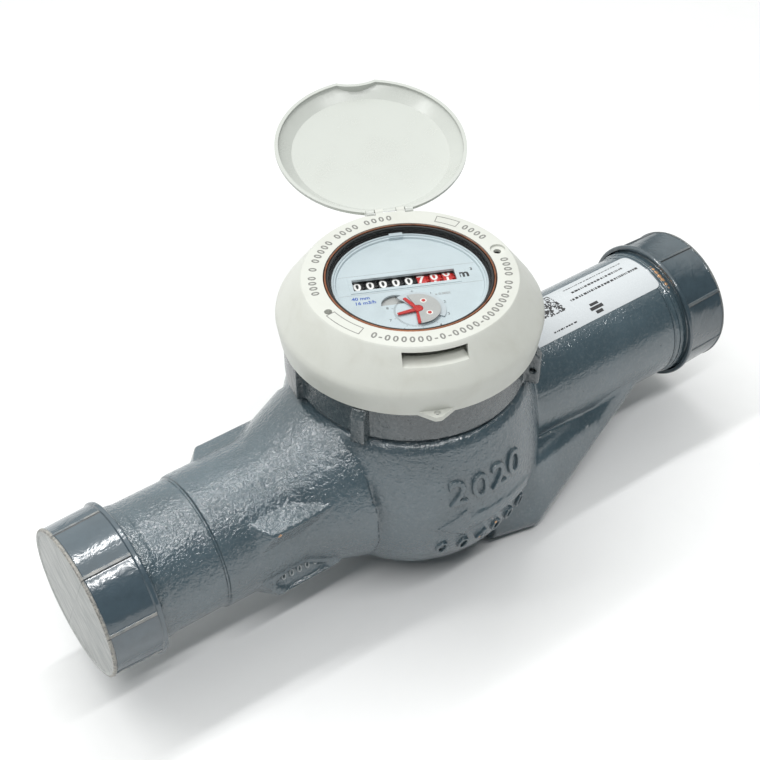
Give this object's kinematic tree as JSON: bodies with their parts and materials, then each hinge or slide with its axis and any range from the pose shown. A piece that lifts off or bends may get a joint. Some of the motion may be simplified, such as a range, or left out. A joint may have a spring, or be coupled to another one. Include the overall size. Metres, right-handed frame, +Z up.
{
  "type": "water meter",
  "caption": "Multi-jet water meter with a cast body, threaded pipe ends under caps, a dry register with roller counter and pointer star, and a hinged lid that stands open.",
  "frame": {"origin": "on the axis of the register, in the plane of the flat base of the casting", "axes": "+X along the pipe towards the inlet, water flows towards -X, +Z up along the axis of the register"},
  "size_m": [0.3122, 0.1736, 0.145],
  "materials": {
    "cast_paint": "glossy orange-peel paint on cast brass",
    "ring_paint": "satin paint on a rough casting",
    "cap_plastic": "moulded, glossy",
    "cover_plastic": "fine matt moulding",
    "white_plastic": "moulded",
    "dial_white": "printed dial",
    "black_plastic": "moulded",
    "red_plastic": "moulded",
    "grey_disc": "thin stamped sheet",
    "black_rubber": "moulded",
    "brass": "turned",
    "copper": "drawn copper sheet",
    "steel": "drawn wire",
    "magnet": "sintered",
    "clear_glass": "hardened mineral glass"
  },
  "bodies": {
    "casting": {"meter_body": "cast_paint", "inlet_strainer": "white_plastic", "basket_strainer": "white_plastic", "measuring_chamber": "white_plastic", "pivot_pin": "steel", "chamber_lid": "white_plastic", "pressure_seal": "black_rubber", "pressure_plate": "brass", "slip_ring": "white_plastic", "head_ring": "ring_paint"},
    "impeller": {"impeller": "white_plastic", "drive_magnet": "magnet"},
    "register": {"register_can": "copper", "magnet_shield": "steel", "movement_plate": "white_plastic", "movement_bridge": "white_plastic", "counter_frame": "white_plastic", "drum_shaft": "steel", "pinion_shaft": "steel", "dial_plate": "dial_white", "dial_bezel": "white_plastic", "spacer_ring": "black_plastic", "glass_gasket": "black_rubber", "glass": "clear_glass", "cover": "cover_plastic", "hinge_pin": "steel"},
    "lid": {"lid": "cover_plastic"},
    "follower": {"follower_magnet": "magnet"},
    "first_wheel": {"gear_wheel_first": "white_plastic"},
    "pointer": {"pointer_arbor": "red_plastic", "sensor_disc": "grey_disc", "pointer_star": "red_plastic"},
    "third_wheel": {"gear_wheel_third": "white_plastic"},
    "worm": {"worm_arbor": "white_plastic"},
    "inlet_cap": {"inlet_cap": "cap_plastic"},
    "outlet_cap": {"outlet_cap": "cap_plastic"},
    "drum_1": {"drum_1": "black_plastic"},
    "drum_2": {"drum_2": "black_plastic"},
    "drum_3": {"drum_3": "black_plastic"},
    "drum_4": {"drum_4": "black_plastic"},
    "drum_5": {"drum_5": "black_plastic"},
    "drum_6": {"drum_6": "red_plastic"},
    "drum_7": {"drum_7": "red_plastic"},
    "drum_8": {"drum_8": "red_plastic"},
    "carry_pinion_1": {"carry_pinion_1": "white_plastic"},
    "carry_pinion_2": {"carry_pinion_2": "white_plastic"},
    "carry_pinion_3": {"carry_pinion_3": "white_plastic"},
    "carry_pinion_4": {"carry_pinion_4": "white_plastic"},
    "carry_pinion_5": {"carry_pinion_5": "white_plastic"},
    "carry_pinion_6": {"carry_pinion_6": "white_plastic"},
    "carry_pinion_7": {"carry_pinion_7": "white_plastic"}
  },
  "joints": [
    {"name": "register_turn", "type": "hinge", "parent": "casting", "child": "register", "pos_m": [0, 0, 0.11], "axis": [0, 0, 1], "range_deg": [-170, 170]},
    {"name": "lid_hinge", "type": "hinge", "parent": "register", "child": "lid", "pos_m": [0.01858, 0.03895, 0.13203], "axis": [0.9026, -0.4305, 0], "range_deg": [0, 169.8]},
    {"name": "inlet_cap_pull", "type": "slide", "parent": "casting", "child": "inlet_cap", "axis": [1, 0, 0], "range_m": [0, 0.03]},
    {"name": "outlet_cap_pull", "type": "slide", "parent": "casting", "child": "outlet_cap", "axis": [-1, 0, 0], "range_m": [0, 0.03]},
    {"name": "impeller_spin", "type": "hinge", "parent": "casting", "child": "impeller", "pos_m": [0, 0, 0.05], "axis": [0, 0, 1], "continuous": true},
    {"name": "follower_spin", "type": "hinge", "parent": "register", "child": "follower", "pos_m": [0, 0, 0.103], "axis": [0, 0, 1], "continuous": true},
    {"name": "first_wheel_spin", "type": "hinge", "parent": "register", "child": "first_wheel", "pos_m": [0.00169, -0.00923, 0.11], "axis": [0, 0, 1], "continuous": true},
    {"name": "pointer_spin", "type": "hinge", "parent": "register", "child": "pointer", "pos_m": [-0.00737, -0.01499, 0.11], "axis": [0, 0, 1], "continuous": true},
    {"name": "third_wheel_spin", "type": "hinge", "parent": "register", "child": "third_wheel", "pos_m": [0.00082, -0.02034, 0.11], "axis": [0, 0, 1], "continuous": true},
    {"name": "worm_spin", "type": "hinge", "parent": "register", "child": "worm", "pos_m": [0.01485, -0.01439, 0.11], "axis": [0, 0, 1], "continuous": true},
    {"name": "drum_1_spin", "type": "hinge", "parent": "register", "child": "drum_1", "pos_m": [0.00097, 0.00203, 0.1201], "axis": [0.9026, -0.4305, 0], "continuous": true},
    {"name": "drum_2_spin", "type": "hinge", "parent": "register", "child": "drum_2", "pos_m": [0.00097, 0.00203, 0.1201], "axis": [0.9026, -0.4305, 0], "continuous": true},
    {"name": "drum_3_spin", "type": "hinge", "parent": "register", "child": "drum_3", "pos_m": [0.00097, 0.00203, 0.1201], "axis": [0.9026, -0.4305, 0], "continuous": true},
    {"name": "drum_4_spin", "type": "hinge", "parent": "register", "child": "drum_4", "pos_m": [0.00097, 0.00203, 0.1201], "axis": [0.9026, -0.4305, 0], "continuous": true},
    {"name": "drum_5_spin", "type": "hinge", "parent": "register", "child": "drum_5", "pos_m": [0.00097, 0.00203, 0.1201], "axis": [0.9026, -0.4305, 0], "continuous": true},
    {"name": "drum_6_spin", "type": "hinge", "parent": "register", "child": "drum_6", "pos_m": [0.00097, 0.00203, 0.1201], "axis": [0.9026, -0.4305, 0], "continuous": true},
    {"name": "drum_7_spin", "type": "hinge", "parent": "register", "child": "drum_7", "pos_m": [0.00097, 0.00203, 0.1201], "axis": [0.9026, -0.4305, 0], "continuous": true},
    {"name": "drum_8_spin", "type": "hinge", "parent": "register", "child": "drum_8", "pos_m": [0.00097, 0.00203, 0.1201], "axis": [0.9026, -0.4305, 0], "continuous": true},
    {"name": "carry_pinion_1_spin", "type": "hinge", "parent": "register", "child": "carry_pinion_1", "pos_m": [0.00506, 0.0106, 0.1151], "axis": [0.9026, -0.4305, 0], "continuous": true},
    {"name": "carry_pinion_2_spin", "type": "hinge", "parent": "register", "child": "carry_pinion_2", "pos_m": [0.00506, 0.0106, 0.1151], "axis": [0.9026, -0.4305, 0], "continuous": true},
    {"name": "carry_pinion_3_spin", "type": "hinge", "parent": "register", "child": "carry_pinion_3", "pos_m": [0.00506, 0.0106, 0.1151], "axis": [0.9026, -0.4305, 0], "continuous": true},
    {"name": "carry_pinion_4_spin", "type": "hinge", "parent": "register", "child": "carry_pinion_4", "pos_m": [0.00506, 0.0106, 0.1151], "axis": [0.9026, -0.4305, 0], "continuous": true},
    {"name": "carry_pinion_5_spin", "type": "hinge", "parent": "register", "child": "carry_pinion_5", "pos_m": [0.00506, 0.0106, 0.1151], "axis": [0.9026, -0.4305, 0], "continuous": true},
    {"name": "carry_pinion_6_spin", "type": "hinge", "parent": "register", "child": "carry_pinion_6", "pos_m": [0.00506, 0.0106, 0.1151], "axis": [0.9026, -0.4305, 0], "continuous": true},
    {"name": "carry_pinion_7_spin", "type": "hinge", "parent": "register", "child": "carry_pinion_7", "pos_m": [0.00506, 0.0106, 0.1151], "axis": [0.9026, -0.4305, 0], "continuous": true}
  ],
  "couplings": [
    {"joint": "follower_spin", "follows": "impeller_spin", "ratio": 1},
    {"joint": "first_wheel_spin", "follows": "impeller_spin", "ratio": -0.21053},
    {"joint": "pointer_spin", "follows": "impeller_spin", "ratio": 0.04896},
    {"joint": "third_wheel_spin", "follows": "impeller_spin", "ratio": -0.04896},
    {"joint": "worm_spin", "follows": "impeller_spin", "ratio": 0.058752},
    {"joint": "drum_1_spin", "follows": "impeller_spin", "ratio": -0.0000000004896},
    {"joint": "drum_2_spin", "follows": "impeller_spin", "ratio": -0.000000004896},
    {"joint": "drum_3_spin", "follows": "impeller_spin", "ratio": -0.00000004896},
    {"joint": "drum_4_spin", "follows": "impeller_spin", "ratio": -0.0000004896},
    {"joint": "drum_5_spin", "follows": "impeller_spin", "ratio": -0.000004896},
    {"joint": "drum_6_spin", "follows": "impeller_spin", "ratio": -0.00004896},
    {"joint": "drum_7_spin", "follows": "impeller_spin", "ratio": -0.0004896},
    {"joint": "drum_8_spin", "follows": "impeller_spin", "ratio": -0.004896},
    {"joint": "carry_pinion_1_spin", "follows": "impeller_spin", "ratio": 0.000000001224},
    {"joint": "carry_pinion_2_spin", "follows": "impeller_spin", "ratio": 0.00000001224},
    {"joint": "carry_pinion_3_spin", "follows": "impeller_spin", "ratio": 0.0000001224},
    {"joint": "carry_pinion_4_spin", "follows": "impeller_spin", "ratio": 0.000001224},
    {"joint": "carry_pinion_5_spin", "follows": "impeller_spin", "ratio": 0.00001224},
    {"joint": "carry_pinion_6_spin", "follows": "impeller_spin", "ratio": 0.0001224},
    {"joint": "carry_pinion_7_spin", "follows": "impeller_spin", "ratio": 0.001224}
  ]
}
